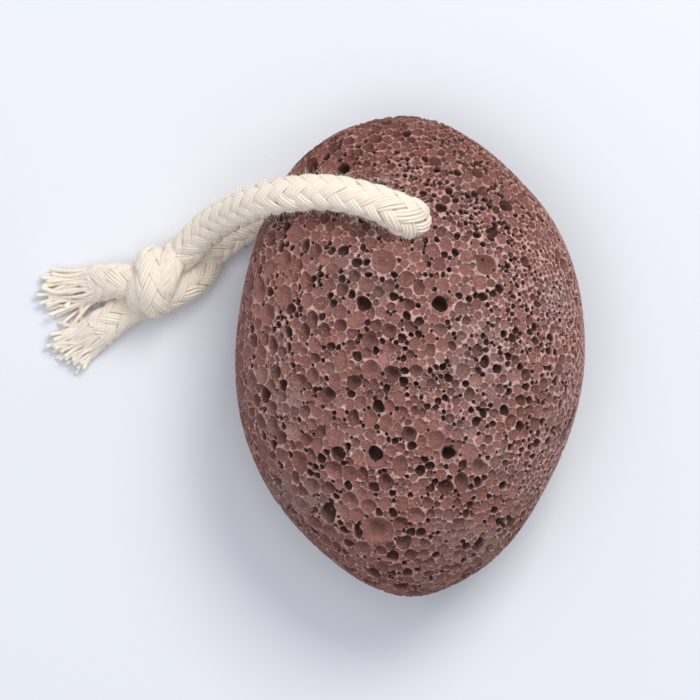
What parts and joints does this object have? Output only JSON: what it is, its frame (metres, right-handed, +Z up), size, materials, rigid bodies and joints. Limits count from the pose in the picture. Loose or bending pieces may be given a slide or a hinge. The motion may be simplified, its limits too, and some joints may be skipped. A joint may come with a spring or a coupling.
{
  "type": "pumice stone",
  "caption": "Porous pointed-oval foot pumice stone lying on its back, with a braided cotton rope looped through a drilled hole near one end and knotted beside it.",
  "frame": {"origin": "centre of the stone's bounding box in X and Y, on the floor that it lies on; the rope is not counted", "axes": "+Z up, out of the rubbing face; +Y along the stone towards its drilled end; +X to the right of someone looking down with the drilled end away from them"},
  "size_m": [0.1134, 0.1002, 0.0448],
  "materials": {
    "pumice": "rubbed, porous",
    "cotton_rope": "braided, soft"
  },
  "bodies": {
    "root": {"pumice_stone": "pumice", "rope_loop": "cotton_rope", "rope_knot": "cotton_rope", "rope_tail_upper": "cotton_rope", "rope_tail_lower": "cotton_rope"}
  },
  "joints": []
}
